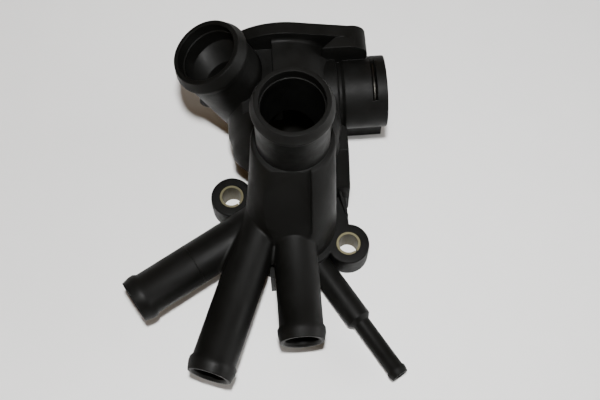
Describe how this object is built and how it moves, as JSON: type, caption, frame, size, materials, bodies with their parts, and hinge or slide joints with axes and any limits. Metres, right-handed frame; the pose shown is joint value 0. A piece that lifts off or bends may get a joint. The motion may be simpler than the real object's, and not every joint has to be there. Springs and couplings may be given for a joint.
{
  "type": "thermostat housing",
  "caption": "Black moulded thermostat housing with an upright port, a leaning port, a side port, four hose tails and two bolt lugs with steel sleeves.",
  "frame": {"origin": "centre of the round opening in the mounting face, midway between the two bolt lugs", "axes": "+Z away from the engine along the upright port, +Y out of the thermostat chamber's mouth, away from the hose tails, +X out of the side port"},
  "size_m": [0.1222, 0.1466, 0.094],
  "materials": {
    "nylon": "satin, glass-filled nylon",
    "sleeve_steel": "zinc plated",
    "insert_brass": "plain",
    "clip_steel": "drawn wire"
  },
  "bodies": {
    "root": {"housing_body": "nylon", "sleeve_left": "sleeve_steel", "sleeve_right": "sleeve_steel", "insert_upper": "insert_brass", "insert_lower": "insert_brass", "retaining_clip": "clip_steel"}
  },
  "joints": []
}
